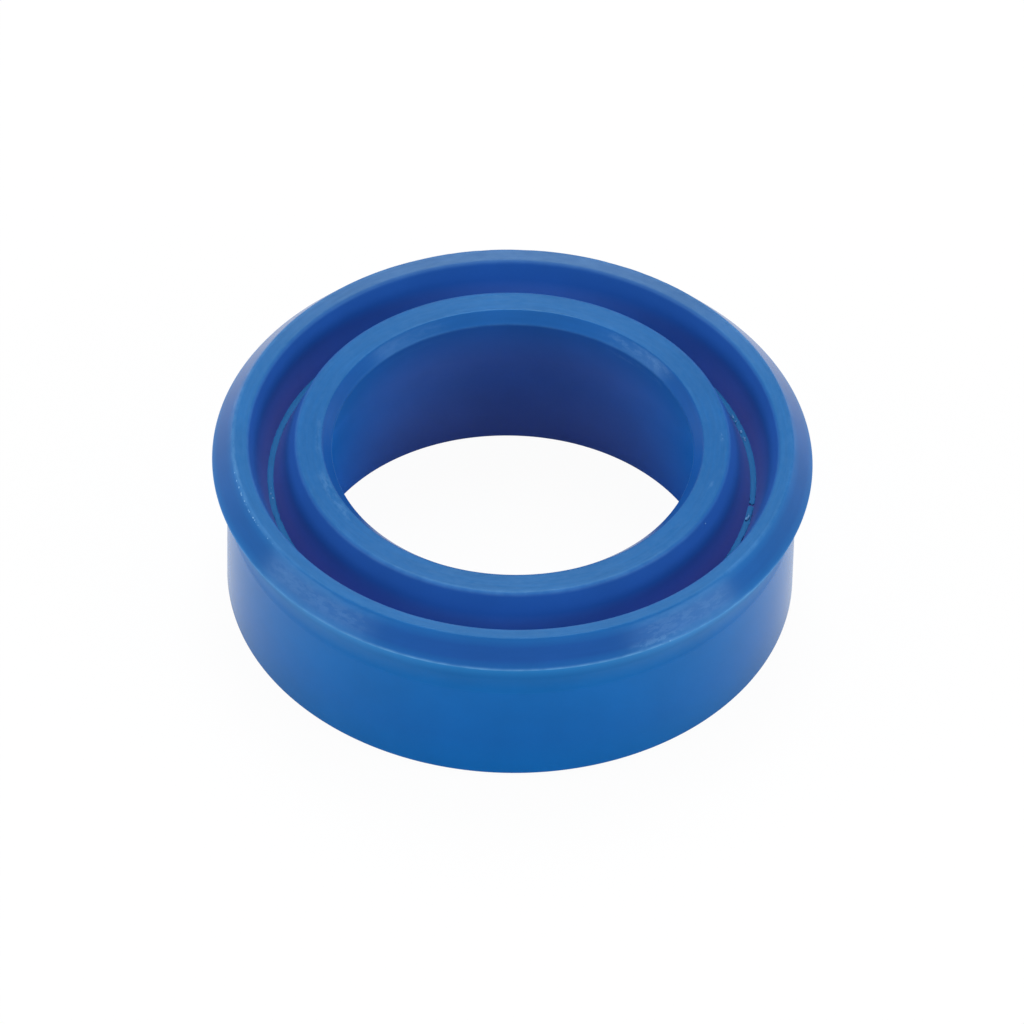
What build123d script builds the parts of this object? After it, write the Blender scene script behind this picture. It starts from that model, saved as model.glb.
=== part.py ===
from build123d import *

import os
from math import radians, tan

# U cup seal: one moulded ring with a flat heel, a flared lip on each side and a groove
# between the lips. Millimetres, +Z up, heel face on Z = 0, ring axis on the Z axis.

# Gland that the seal fits
rod_diameter = 20.0
cylinder_diameter = 30.0

# Heel, which sits in the gland with room on both sides
height = 10.0
heel_rod_clearance = 0.5
heel_cylinder_clearance = 0.3
heel_outer_edge_break = 0.4
heel_inner_edge_break = 0.3

# Outer lip, which presses on the cylinder wall
outer_lip_interference = 0.5
outer_lip_edge_drop = 1.25
outer_lip_chamfer_width = 1.05
outer_lip_land_width = 0.72
outer_lip_flare_angle = 25.0
outer_lip_root_radius = 3.0

# Inner lip, which presses on the rod
inner_lip_interference = 0.7
inner_lip_edge_drop = 0.57
inner_lip_chamfer_width = 0.54
inner_lip_land_width = 1.38
inner_lip_flare_angle = 16.0
inner_lip_root_radius = 6.0

# Groove between the lips, which the fluid pressure opens
groove_depth = 2.75
groove_floor_width = 0.24
groove_mouth_radius = 0.15
land_edge_radius = 0.15

# Radii of the section, from the bore outwards
heel_bore_radius = rod_diameter / 2 + heel_rod_clearance
heel_outer_radius = cylinder_diameter / 2 - heel_cylinder_clearance
inner_edge_radius = rod_diameter / 2 - inner_lip_interference
outer_edge_radius = cylinder_diameter / 2 + outer_lip_interference
inner_land_start = inner_edge_radius + inner_lip_chamfer_width
inner_land_end = inner_land_start + inner_lip_land_width
outer_land_end = outer_edge_radius - outer_lip_chamfer_width
outer_land_start = outer_land_end - outer_lip_land_width
groove_centre = (inner_land_end + outer_land_start) / 2

# Heights of the section, from the heel face up
inner_edge_height = height - inner_lip_edge_drop
outer_edge_height = height - outer_lip_edge_drop
inner_overhang = heel_bore_radius - inner_edge_radius
outer_overhang = outer_edge_radius - heel_outer_radius
inner_root_height = inner_edge_height - inner_overhang / tan(radians(inner_lip_flare_angle))
outer_root_height = outer_edge_height - outer_overhang / tan(radians(outer_lip_flare_angle))
groove_floor_height = height - groove_depth


def corner(sketch, radius, level):
    """Return the sketch's corner nearest to a radius and a height."""
    return sketch.vertices().sort_by_distance((radius, level))[0]


with BuildPart() as u_cup_seal:
    with BuildSketch(Plane.XZ) as section:
        # Blank, with the flares, the sharp sealing edges and the chamfers up to the lands
        with BuildLine():
            Polyline(
                (heel_bore_radius, 0),
                (heel_outer_radius, 0),
                (heel_outer_radius, outer_root_height),
                (outer_edge_radius, outer_edge_height),
                (outer_land_end, height),
                (inner_land_start, height),
                (inner_edge_radius, inner_edge_height),
                (heel_bore_radius, inner_root_height),
                close=True,
            )
        make_face()

        # Tapered groove with a narrow flat floor
        with BuildLine():
            Polyline(
                (inner_land_end, height),
                (groove_centre - groove_floor_width / 2, groove_floor_height),
                (groove_centre + groove_floor_width / 2, groove_floor_height),
                (outer_land_start, height),
                close=True,
            )
        make_face(mode=Mode.SUBTRACT)

        # Each flare runs into the heel's straight wall with a soft root
        fillet(corner(section, heel_outer_radius, outer_root_height), outer_lip_root_radius)
        fillet(corner(section, heel_bore_radius, inner_root_height), inner_lip_root_radius)

        # The lands are eased at the groove's mouth and where the chamfers start
        for mouth_radius in (inner_land_end, outer_land_start):
            fillet(corner(section, mouth_radius, height), groove_mouth_radius)
        for land_end in (inner_land_start, outer_land_end):
            fillet(corner(section, land_end, height), land_edge_radius)

        # The heel's edges are broken so that they don't catch in the gland
        chamfer(corner(section, heel_outer_radius, 0), heel_outer_edge_break)
        chamfer(corner(section, heel_bore_radius, 0), heel_inner_edge_break)
    revolve(axis=Axis.Z)

u_cup_seal.part.label = "u_cup_seal"

os.makedirs("parts", exist_ok=True)
export_step(u_cup_seal.part, "parts/u_cup_seal.step")
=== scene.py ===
"""U cup seal: the looks of one moulded polyurethane ring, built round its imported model.

The ring is a section carried round a circle. A ragged line of flash lies on the floor of its groove,
and small burrs sit where the mould closed and the lips were trimmed. Sizes are in millimetres in the
classes and become metres in the meshes. Directions round the ring are in degrees, from +X towards +Y.
"""

import logging
import math
import random
from collections.abc import Callable
from dataclasses import dataclass, field
from enum import Enum, auto
from functools import partial

import bpy
from mathutils import Matrix, Vector


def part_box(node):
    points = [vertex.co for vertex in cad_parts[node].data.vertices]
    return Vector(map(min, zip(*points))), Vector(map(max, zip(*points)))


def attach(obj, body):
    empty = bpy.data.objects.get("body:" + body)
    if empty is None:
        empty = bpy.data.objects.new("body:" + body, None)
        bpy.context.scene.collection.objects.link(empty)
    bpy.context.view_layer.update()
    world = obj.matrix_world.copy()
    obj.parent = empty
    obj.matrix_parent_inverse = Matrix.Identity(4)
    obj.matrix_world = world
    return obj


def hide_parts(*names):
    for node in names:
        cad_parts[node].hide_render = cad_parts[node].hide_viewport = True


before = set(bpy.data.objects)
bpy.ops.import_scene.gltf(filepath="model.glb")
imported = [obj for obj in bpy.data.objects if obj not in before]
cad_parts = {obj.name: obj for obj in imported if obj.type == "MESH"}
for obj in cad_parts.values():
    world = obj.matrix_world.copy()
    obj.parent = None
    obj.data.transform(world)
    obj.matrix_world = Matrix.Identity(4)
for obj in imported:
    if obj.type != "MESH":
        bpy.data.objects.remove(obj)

MM = 0.001
BODY = "root"
NODE = "u_cup_seal"
log = logging.getLogger("u_cup_seal")

# The skin's values as the mesh carries them: three colours, then the levels.
# The second and third colours are painted light and shade, at the ring's sides and at its back.
TONES = ("tone", "painted_light_shade_aside", "painted_light_shade_behind")
LEVELS = ("rough", "drawn", "gloss")
# The strength of the painted highlight along the edges, at the sides and at the front.
EDGE_HIGHLIGHTS = ("edge_highlight_aside", "edge_highlight_front")

# A noise swings round its middle, and most of its values lie within its span.
NOISE_MIDDLE = 0.5
NOISE_SPAN = {"From Min": 0.3, "From Max": 0.7}
RANGE = ("Value", "From Min", "From Max", "To Min", "To Max")

Socket = bpy.types.NodeSocket
Outputs = bpy.types.bpy_prop_collection
Adder = Callable[..., Outputs]
SOCKET_KINDS = {int: "NodeSocketInt", float: "NodeSocketFloat", bpy.types.Object: "NodeSocketObject",
                bpy.types.Material: "NodeSocketMaterial"}


def linear(hex_colour: str) -> tuple[float, float, float, float]:
    """Turn an sRGB hex colour into the linear values that shaders take.

    Args:
        hex_colour: The colour as "#rrggbb".

    Returns:
        Red, green, blue and an alpha of 1.
    """
    channels = [int(hex_colour[i : i + 2], 16) / 255 for i in (1, 3, 5)]
    return (*(c / 12.92 if c <= 0.04045 else ((c + 0.055) / 1.055) ** 2.4 for c in channels), 1.0)


def add_node(tree: bpy.types.NodeTree, kind: str, inputs: dict | None = None, **settings) -> Outputs:
    """Add one node to a tree with its settings, values and links.

    Args:
        tree: The node tree that gets the node.
        kind: The node's type, such as "ShaderNodeMath".
        inputs: Input name or number to a value, or to the output socket that feeds it.
        **settings: Properties of the node itself.

    Returns:
        The new node's outputs.
    """
    node = tree.nodes.new(kind)
    for name, value in settings.items():
        setattr(node, name, value)
    for key, value in (inputs or {}).items():
        if isinstance(value, Socket):
            tree.links.new(value, node.inputs[key])
        else:
            node.inputs[key].default_value = value
    return node.outputs


def empty_tree(owner: bpy.types.Material | bpy.types.World) -> Adder:
    """Empty a material's or a world's node tree, and give add_node for it."""
    owner.use_nodes = True
    owner.node_tree.nodes.clear()
    return partial(add_node, owner.node_tree)


def round_axis(add: Adder, place: Socket) -> dict[str, Socket]:
    """Work out where a place lies round the ring's axis.

    Args:
        add: Adds a node to the tree.
        place: The place.

    Returns:
        Its "X", "Y" and "Z", its "radius" and "angle" round the axis, its "flat" place without the
        height, and the way "outward" from the axis.
    """
    parts = add("ShaderNodeSeparateXYZ", {0: place})
    flat = add("ShaderNodeVectorMath", {0: place, 1: (1, 1, 0)}, operation="MULTIPLY")[0]
    return {
        "X": parts["X"],
        "Y": parts["Y"],
        "Z": parts["Z"],
        "radius": add("ShaderNodeVectorMath", {0: flat}, operation="LENGTH")["Value"],
        "angle": add("ShaderNodeMath", {0: parts["Y"], 1: parts["X"]}, operation="ARCTAN2")[0],
        "flat": flat,
        "outward": add("ShaderNodeVectorMath", {0: flat}, operation="NORMALIZE")[0],
    }


def facing(add: Adder, angle: Socket, direction: Socket | float) -> Socket:
    """Give 1 where an angle is the direction, 0 a quarter turn away and -1 opposite, all in radians."""
    turned = add("ShaderNodeMath", {0: angle, 1: direction}, operation="SUBTRACT")[0]
    return add("ShaderNodeMath", {0: turned}, operation="COSINE")[0]


def paced(add: Adder, at: dict[str, Socket], paces: dict[str, float]) -> list[Socket]:
    """Multiply each term of a place by how often a pattern repeats along it."""
    return [add("ShaderNodeMath", {0: at[term], 1: pace}, operation="MULTIPLY")[0]
            for term, pace in paces.items()]


def looked_at(add: Adder) -> Socket:
    """Give 1 for a ray that looks at a thing, straight, in a gloss or through glass, and 0 for light."""
    path = add("ShaderNodeLightPath")
    looking = path["Is Camera Ray"]
    for ray in ("Is Glossy Ray", "Is Transmission Ray"):
        looking = add("ShaderNodeMath", {0: looking, 1: path[ray]}, operation="MAXIMUM")[0]
    return looking


def level_circle(add: Adder, steps: Socket, radius: Socket) -> Socket:
    """Add a circle round the axis that carries a profile upright."""
    circle = add("GeometryNodeCurvePrimitiveCircle", {"Resolution": steps, "Radius": radius})["Curve"]
    return add("GeometryNodeSetCurveNormal", {"Curve": circle}, mode="Z_UP")["Curve"]


def put_in_scene(name: str, data: bpy.types.ID) -> bpy.types.Object:
    """Make an object of some data and link it to the scene."""
    made = bpy.data.objects.new(name, data)
    bpy.context.scene.collection.objects.link(made)
    return made


def make_by_nodes(name: str, lay: Callable[[Adder, Outputs], Socket], sizes: dict) -> bpy.types.Object:
    """Build a geometry node tree, run it and keep what it makes as a plain mesh.

    Args:
        name: The new object's name.
        lay: Adds the tree's own nodes, takes its inputs and gives the geometry that they make.
        sizes: Each input's name and value, with the material as "Material".

    Returns:
        An object at the origin that holds the made mesh.
    """
    tree = bpy.data.node_groups.new("make_" + name, "GeometryNodeTree")
    tree.interface.new_socket("Geometry", in_out="OUTPUT", socket_type="NodeSocketGeometry")
    sockets = {key: tree.interface.new_socket(key, in_out="INPUT", socket_type=SOCKET_KINDS[type(value)])
               for key, value in sizes.items()}
    add = partial(add_node, tree)
    given = add("NodeGroupInput")
    smooth = add("GeometryNodeSetShadeSmooth", {"Geometry": lay(add, given)})[0]
    real = add("GeometryNodeRealizeInstances", {"Geometry": smooth})[0]
    dressed = add("GeometryNodeSetMaterial", {"Geometry": real, "Material": given["Material"]})[0]
    add("NodeGroupOutput", {"Geometry": dressed})

    holder = put_in_scene(name, bpy.data.meshes.new(name + "_start"))
    modifier = holder.modifiers.new("make", "NODES")
    modifier.node_group = tree
    for key, value in sizes.items():
        modifier[sockets[key].identifier] = value
    bpy.context.view_layer.update()
    evaluated = holder.evaluated_get(bpy.context.evaluated_depsgraph_get())
    mesh = bpy.data.meshes.new_from_object(evaluated)
    holder.modifiers.remove(modifier)
    holder.data = mesh
    mesh.name = name
    return holder


@dataclass(frozen=True)
class Skin:
    """How one face of the moulding came out.

    Attributes:
        colour: The face's colour as sRGB hex; in some faces it holds painted light and shade.
        gloss: Strength of its reflection, where 1 is a face from a smooth mould.
        roughness: Spread of its reflection.
        drawn: How far tool marks round the axis draw the reflection out.
        aside: Painted light and shade: the colour that the face turns to at the ring's left and right, as
            sRGB hex.
        behind: Painted light and shade: the colour that it turns to at the back.
    """

    colour: str
    gloss: float
    roughness: float
    drawn: float = 0.0
    aside: str = ""
    behind: str = ""

    def values(self) -> list[float]:
        """Give red, green and blue of each of the TONES, and then the LEVELS."""
        tones = (self.colour, self.aside or self.colour, self.behind or self.colour)
        channels = [value for tone in tones for value in linear(tone)[:3]]
        return [*channels, self.roughness, self.drawn, self.gloss]

    def blend(self, other: "Skin", share: float, dull: float) -> list[float]:
        """Mix the values of two skins, and take some of the gloss away.

        Args:
            other: The skin to mix in.
            share: How much of it.
            dull: Share of the gloss that is lost.

        Returns:
            The mixed values.
        """
        mixed = [a * (1 - share) + b * share for a, b in zip(self.values(), other.values())]
        return [*mixed[:-1], mixed[-1] * (1 - dull)]


class Surface(Enum):
    """The faces from the heel up and round to the bore, and then the torn bits, each with its skin."""

    # The aside and behind colours are painted light and shade at the ring's sides and back: lighter on the
    # flare, the outer chamfer, the inner land and the body's top; darker in the groove's top, the inner
    # chamfer and the body's foot; more violet deeper in the groove, in the bore and on the outer land.
    HEEL = Skin("#0b5aa2", 0.6, 0.3)
    # The body's foot is painted a little lighter than the body, painted light against the shade where the
    # ring stands on the floor.
    BODY_FOOT = Skin("#0860a8", 0.4, 0.2, aside="#085c9c")
    BODY = Skin("#085ba4", 0.58, 0.2, aside="#085da2")
    BODY_TOP = Skin("#085da5", 0.78, 0.22, aside="#0861a6")
    ROOT = Skin("#0d5fa4", 0.5, 0.3)
    # The flare is painted lighter than the body, painted light for what it takes from the floor below; the
    # flare's edge is lighter still, a painted glow under the sealing edge.
    FLARE = Skin("#1a62a3", 0.03, 0.45, aside="#3a70a8")
    FLARE_EDGE = Skin("#2474b4", 0.03, 0.45, aside="#4484ba")
    CHAMFER = Skin("#1d599d", 1.05, 0.24, 0.3, aside="#1b5d9f")
    # The chamfer's middle is painted darker: a painted dark reflection of the camera's side of the room.
    CHAMFER_DARK_REFLECTION = Skin("#1b4c94", 1.05, 0.21, 0.3, aside="#185295")
    OUTER_LAND = Skin("#1e5f9d", 1.6, 0.3, 0.7, behind="#355b91")
    # Down the groove the colours are painted light and shade: they turn more violet with depth, a painted
    # shade, and lighter, painted light against the shadow in the groove.
    GROOVE_TOP = Skin("#2256a6", 0.5, 0.4, aside="#22529f")
    GROOVE_MIDDLE = Skin("#3662b0", 0.4, 0.42, aside="#4260b0")
    GROOVE_DEEP = Skin("#3a6dbc", 0.3, 0.45, aside="#5566b2")
    GROOVE_FLOOR = Skin("#2458a6", 0.2, 0.45, aside="#4a58a0")
    LAND = Skin("#135593", 1.6, 0.3, 0.7, aside="#135898", behind="#135898")
    INNER_CHAMFER = Skin("#1c579c", 1.15, 0.24, 0.4, aside="#124e97")
    # Down the bore the colours are painted lighter, painted light against the shade deep in it, and behind
    # they turn to a violet painted shade on the back wall.
    BORE_TOP = Skin("#115da6", 0.02, 0.5, behind="#2458a0")
    BORE_MIDDLE = Skin("#1268b6", 0.02, 0.5, behind="#3e5fa5")
    BORE_FOOT = Skin("#267ad6", 0.02, 0.5, behind="#5065a4")
    FLASH = Skin("#2c70aa", 0.4, 0.4)
    BURR = Skin("#6c9fd0", 0.4, 0.4)

    @property
    def skin(self) -> Skin:
        """The skin that the face came out with."""
        return self.value


class Mark(Enum):
    """What a corner of the section is, for the nicks and the ragged groove that it gets, and the painted
    highlight along its edge.
    """

    PLAIN = auto()
    OUTER_SEALING_EDGE = auto()
    LAND_EDGE = auto()
    GROOVE_MOUTH = auto()
    FLOOR_OUTSIDE = auto()
    FLOOR_INSIDE = auto()
    INNER_MOUTH = auto()
    INNER_SEALING_EDGE = auto()


@dataclass(frozen=True)
class Corner:
    """One corner of the section.

    Attributes:
        radius: Distance from the ring's axis.
        height: Height over the heel face.
        rounding: Radius of the corner's rounding.
        steps: Straight pieces that the rounding is made of.
        before: Surface that runs into the corner, going round against the clock.
        after: Surface that runs on from it.
        mark: What the corner is.
        stops: Places on the flat that follows, as a share of its length, and the surface that is there.
        dull: Share of the gloss that its rounding has lost.
    """

    radius: float
    height: float
    rounding: float
    steps: int
    before: Surface
    after: Surface
    mark: Mark = Mark.PLAIN
    stops: tuple[tuple[float, Surface], ...] = ()
    dull: float = 0.0

    @property
    def place(self) -> Vector:
        """The corner as a point of the section's plane."""
        return Vector((self.radius, self.height))


@dataclass(frozen=True)
class SectionPoint:
    """One point of the section's outline.

    Attributes:
        place: Radius and height.
        first: The surface that it leaves.
        second: The surface that it comes to.
        share: How far it has passed from the first to the second.
        mark: What its corner is.
        wear_and_highlight: Share of the corner's nicking and painted edge highlight that reaches it.
        dull: Share of the gloss that is lost there.
    """

    place: Vector
    first: Surface
    second: Surface
    share: float = 0.0
    mark: Mark = Mark.PLAIN
    wear_and_highlight: float = 0.0
    dull: float = 0.0


@dataclass
class SealSection:
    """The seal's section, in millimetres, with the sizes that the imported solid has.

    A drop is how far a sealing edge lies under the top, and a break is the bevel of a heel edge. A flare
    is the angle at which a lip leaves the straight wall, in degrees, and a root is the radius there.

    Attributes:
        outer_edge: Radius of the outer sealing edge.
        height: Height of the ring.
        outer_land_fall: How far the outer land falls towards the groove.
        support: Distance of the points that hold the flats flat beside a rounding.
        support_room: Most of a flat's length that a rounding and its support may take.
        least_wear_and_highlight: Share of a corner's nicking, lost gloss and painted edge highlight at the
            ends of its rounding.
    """

    outer_edge: float
    height: float
    heel_bore: float = 10.5
    heel_outside: float = 14.7
    heel_outer_break: float = 0.55
    heel_inner_break: float = 0.28
    outer_edge_drop: float = 1.25
    outer_chamfer: float = 1.05
    outer_land: float = 0.79
    outer_land_fall: float = 0.08
    outer_flare: float = 25.0
    outer_root: float = 3.0
    inner_edge: float = 9.3
    inner_edge_drop: float = 0.57
    inner_chamfer: float = 0.54
    inner_land: float = 1.36
    inner_flare: float = 16.0
    inner_root: float = 6.0
    floor_middle: float = 12.475
    groove_depth: float = 2.75
    floor_width: float = 0.24
    outer_land_rounding: float = 0.18
    inner_land_rounding: float = 0.12
    mouth_rounding: float = 0.22
    outer_edge_rounding: float = 0.08
    inner_edge_rounding: float = 0.12
    floor_rounding: float = 0.02
    break_rounding: float = 0.08
    support: float = 0.08
    support_room: float = 0.45
    least_wear_and_highlight: float = 0.6

    @property
    def floor(self) -> float:
        """Height of the groove's floor."""
        return self.height - self.groove_depth

    @property
    def outer_up(self) -> float:
        """Height of the outer sealing edge."""
        return self.height - self.outer_edge_drop

    @property
    def land_out(self) -> float:
        """Radius of the outer land's outer edge."""
        return self.outer_edge - self.outer_chamfer

    @property
    def land_in(self) -> float:
        """Radius of the inner land's inner edge."""
        return self.inner_edge + self.inner_chamfer

    @property
    def mouth_in(self) -> float:
        """Radius of the groove mouth's inner side."""
        return self.land_in + self.inner_land

    def corners(self) -> list[Corner]:
        """Give the section's corners, from the heel's outer edge up and round to the bore.

        Returns:
            The corners in order, against the clock.
        """
        top, floor = self.height, self.floor
        inner_up = top - self.inner_edge_drop
        outer_reach, inner_reach = self.outer_edge - self.heel_outside, self.heel_bore - self.inner_edge
        outer_root_up = self.outer_up - outer_reach / math.tan(math.radians(self.outer_flare))
        inner_root_up = inner_up - inner_reach / math.tan(math.radians(self.inner_flare))
        mouth_out = self.land_out - self.outer_land
        half = self.floor_width / 2
        s, m = Surface, Mark
        return [
            Corner(self.heel_outside - self.heel_outer_break, 0, self.break_rounding, 2, s.HEEL, s.HEEL),
            Corner(self.heel_outside, self.heel_outer_break, self.break_rounding, 2, s.HEEL, s.BODY_FOOT,
                   stops=((0.35, s.BODY), (0.88, s.BODY_TOP))),
            Corner(self.heel_outside, outer_root_up, self.outer_root, 7, s.ROOT, s.FLARE,
                   stops=((0.45, s.FLARE),), dull=0.45),
            # The middle of the outer chamfer carries the painted dark reflection.
            Corner(self.outer_edge, self.outer_up, self.outer_edge_rounding, 4, s.FLARE_EDGE, s.CHAMFER,
                   m.OUTER_SEALING_EDGE, ((0.3, s.CHAMFER_DARK_REFLECTION), (0.68, s.CHAMFER_DARK_REFLECTION)), 0.95),
            Corner(self.land_out, top, self.outer_land_rounding, 5, s.CHAMFER, s.OUTER_LAND, m.LAND_EDGE,
                   dull=0.5),
            # The groove's walls take their painted light and shade by depth from these stops.
            Corner(mouth_out, top - self.outer_land_fall, self.mouth_rounding, 5, s.OUTER_LAND,
                   s.GROOVE_TOP, m.GROOVE_MOUTH,
                   ((0.36, s.GROOVE_TOP), (0.56, s.GROOVE_MIDDLE), (0.78, s.GROOVE_DEEP)), 0.5),
            Corner(self.floor_middle + half, floor, self.floor_rounding, 1, s.GROOVE_DEEP, s.GROOVE_FLOOR,
                   m.FLOOR_OUTSIDE),
            Corner(self.floor_middle - half, floor, self.floor_rounding, 1, s.GROOVE_FLOOR, s.GROOVE_DEEP,
                   m.FLOOR_INSIDE, ((0.2, s.GROOVE_DEEP), (0.4, s.GROOVE_MIDDLE), (0.6, s.GROOVE_TOP))),
            Corner(self.mouth_in, top, self.mouth_rounding, 5, s.GROOVE_TOP, s.LAND, m.INNER_MOUTH,
                   dull=0.3),
            Corner(self.land_in, top, self.inner_land_rounding, 4, s.LAND, s.INNER_CHAMFER),
            Corner(self.inner_edge, inner_up, self.inner_edge_rounding, 4, s.INNER_CHAMFER, s.BORE_TOP,
                   m.INNER_SEALING_EDGE, dull=0.6),
            Corner(self.heel_bore, inner_root_up, self.inner_root, 6, s.BORE_MIDDLE, s.BORE_MIDDLE),
            Corner(self.heel_bore, self.heel_inner_break, self.break_rounding, 2, s.BORE_FOOT, s.HEEL),
            Corner(self.heel_bore + self.heel_inner_break, 0, self.break_rounding, 2, s.HEEL, s.HEEL),
        ]

    def outline(self) -> list[SectionPoint]:
        """Round each corner, hold the flats flat beside it and set their stops.

        Returns:
            The outline's points in order, against the clock.
        """
        corners = self.corners()
        points = []
        for index, corner in enumerate(corners):
            here = corner.place
            to_last = corners[index - 1].place - here
            to_next = corners[(index + 1) % len(corners)].place - here
            back, ahead = to_last.normalized(), to_next.normalized()
            half_turn = (math.pi - back.angle(ahead)) / 2
            tangent = corner.rounding * math.tan(half_turn)
            centre = here + (back + ahead).normalized() * (corner.rounding / math.cos(half_turn))
            first, last = here + back * tangent - centre, here + ahead * tangent - centre
            skins = (corner.before, corner.after)
            held = tangent + self.support
            if held < to_last.length * self.support_room:
                points.append(SectionPoint(here + back * held, *skins, 0.0, corner.mark))
            for step in range(corner.steps + 1):
                share = step / corner.steps
                arm = (first * (1 - share) + last * share).normalized() * corner.rounding
                # The nicks and the painted edge highlight grow towards the middle of the rounding.
                wear_and_highlight = self.least_wear_and_highlight + (1 - self.least_wear_and_highlight) * math.sin(math.pi * share)
                dull = corner.dull * wear_and_highlight
                points.append(SectionPoint(centre + arm, *skins, share, corner.mark, wear_and_highlight, dull))
            if held < to_next.length * self.support_room:
                points.append(SectionPoint(here + ahead * held, *skins, 1.0, corner.mark))
            points += [SectionPoint(here + to_next * along, surface, surface)
                       for along, surface in corner.stops]
        return points


def write_skins(mesh: bpy.types.Mesh, skins: list[list[float]]) -> None:
    """Write each point's skin to the attributes that the finish reads.

    Args:
        mesh: The mesh whose points get them.
        skins: For each point the values of its skin.
    """
    for index, name in enumerate(TONES):
        channels = slice(3 * index, 3 * index + 3)
        tone = mesh.attributes.new(name, "FLOAT_COLOR", "POINT")
        tone.data.foreach_set("color", [value for skin in skins for value in (*skin[channels], 1.0)])
    for index, name in enumerate(LEVELS, 3 * len(TONES)):
        level = mesh.attributes.new(name, "FLOAT", "POINT")
        level.data.foreach_set("value", [skin[index] for skin in skins])


@dataclass
class SealRing:
    """The whole seal as one mesh: the section carried round the axis, with nicks in its edges and the
    painted highlight along them.

    Attributes:
        section: The section to carry round.
        steps: Places round the circle.
        groove_offset: How far the groove's mouth runs out of true.
        groove_side: Direction in which the outer land is wider.
        floor_ragged: How far the groove floor's edges wander.
        floor_waves: How often they do so in a millimetre.
        nick_depth: Depth of the nicks in the outer land's edge.
        nick_fall: How far a nick goes down, as a share of how far it goes in.
        nicks: How many nicks may come in a millimetre.
        nick_from: Where in the noise a nick starts and where it is deepest.
        pale: Strength of the painted highlight on each kind of edge, from 0 to 1, at the sides and at the
            front.
    """

    section: SealSection
    steps: int = 900
    groove_offset: float = 0.04
    groove_side: float = 130.0
    floor_ragged: float = 0.03
    floor_waves: float = 0.9
    nick_depth: float = 0.03
    nick_fall: float = 0.6
    nicks: float = 0.7
    nick_from: tuple[float, float] = (0.5, 0.8)
    # The painted highlight along each kind of edge, at the sides and at the front.
    pale: dict[Mark, tuple[float, float]] = field(default_factory=lambda: {
        Mark.OUTER_SEALING_EDGE: (0.5, 0.7), Mark.INNER_SEALING_EDGE: (0.12, 0.12),
        Mark.LAND_EDGE: (0.3, 0.0), Mark.GROOVE_MOUTH: (0.1, 0.15), Mark.INNER_MOUTH: (0.08, 0.22)})
    seed: int = 7

    def section_loop(self) -> bpy.types.Object:
        """Draw the section as a closed loop of edges that carries its skins and marks.

        Returns:
            The loop, with X as the distance from the pitch circle and minus Y as the height, as the
            sweep turns it over.
        """
        points = self.section.outline()
        mesh = bpy.data.meshes.new("section_loop")
        places = [((p.place.x - self.section.outer_edge) * MM, -p.place.y * MM, 0) for p in points]
        mesh.from_pydata(places, [(i, (i + 1) % len(points)) for i in range(len(points))], [])
        write_skins(mesh, [p.first.skin.blend(p.second.skin, p.share, p.dull) for p in points])
        sides = {Mark.FLOOR_INSIDE: -1.0, Mark.FLOOR_OUTSIDE: 1.0}
        rows = {
            "nick": [p.wear_and_highlight * (p.mark is Mark.LAND_EDGE) for p in points],
            "mouth": [float(p.mark is Mark.GROOVE_MOUTH) for p in points],
            "floor_side": [sides.get(p.mark, 0.0) for p in points],
        }
        # Each point's share of the painted edge highlight, at the sides and at the front.
        for index, name in enumerate(EDGE_HIGHLIGHTS):
            rows[name] = [p.wear_and_highlight * self.pale.get(p.mark, (0.0, 0.0))[index] for p in points]
        for name, values in rows.items():
            mesh.attributes.new(name, "FLOAT", "POINT").data.foreach_set("value", values)
        return put_in_scene("section_loop", mesh)

    def carry(self, add: Adder, given: Outputs) -> Socket:
        """Carry the loop round the circle and nick and rag its edges.

        Args:
            add: Adds a node to the tree.
            given: The tree's inputs.

        Returns:
            The worn ring.
        """
        loop = add("GeometryNodeObjectInfo", {"Object": given["Section"]})["Geometry"]
        profile = add("GeometryNodeMeshToCurve", {"Mesh": loop})["Curve"]
        circle = level_circle(add, given["Steps"], given["Pitch radius"])
        ring = add("GeometryNodeCurveToMesh", {"Curve": circle, "Profile Curve": profile})["Mesh"]
        at = round_axis(add, add("GeometryNodeInputPosition")[0])
        mouth, floor_side, nick = (
            add("GeometryNodeInputNamedAttribute", {"Name": name}, data_type="FLOAT")["Attribute"]
            for name in ("mouth", "floor_side", "nick"))

        swing = facing(add, at["angle"], given["Groove side"])
        lean = add("ShaderNodeMath", {0: swing, 1: mouth}, operation="MULTIPLY")[0]
        mouth_in = add("ShaderNodeMath", {0: lean, 1: given["Groove offset"]}, operation="MULTIPLY")[0]

        waves = add("ShaderNodeTexNoise", {
            "Vector": at["flat"], "W": given["Seed"], "Scale": self.floor_waves / MM, "Detail": 3.0,
            "Roughness": 0.7}, noise_dimensions="4D")[0]
        centred = add("ShaderNodeMath", {0: waves, 1: NOISE_MIDDLE}, operation="SUBTRACT")[0]
        sided = add("ShaderNodeMath", {0: centred, 1: floor_side}, operation="MULTIPLY")[0]
        floor_out = add("ShaderNodeMath", {0: sided, 1: given["Floor ragged"]}, operation="MULTIPLY")[0]

        chips = add("ShaderNodeTexNoise", {
            "Vector": at["flat"], "W": given["Seed"], "Scale": self.nicks / MM, "Detail": 2.0,
            "Roughness": 0.6}, noise_dimensions="4D")[0]
        low, high = self.nick_from
        deep = add("ShaderNodeMapRange", {"Value": chips, "From Min": low, "From Max": high})[0]
        chipped = add("ShaderNodeMath", {0: deep, 1: nick}, operation="MULTIPLY")[0]
        nick_in = add("ShaderNodeMath", {0: chipped, 1: given["Nick depth"]}, operation="MULTIPLY")[0]

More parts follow.
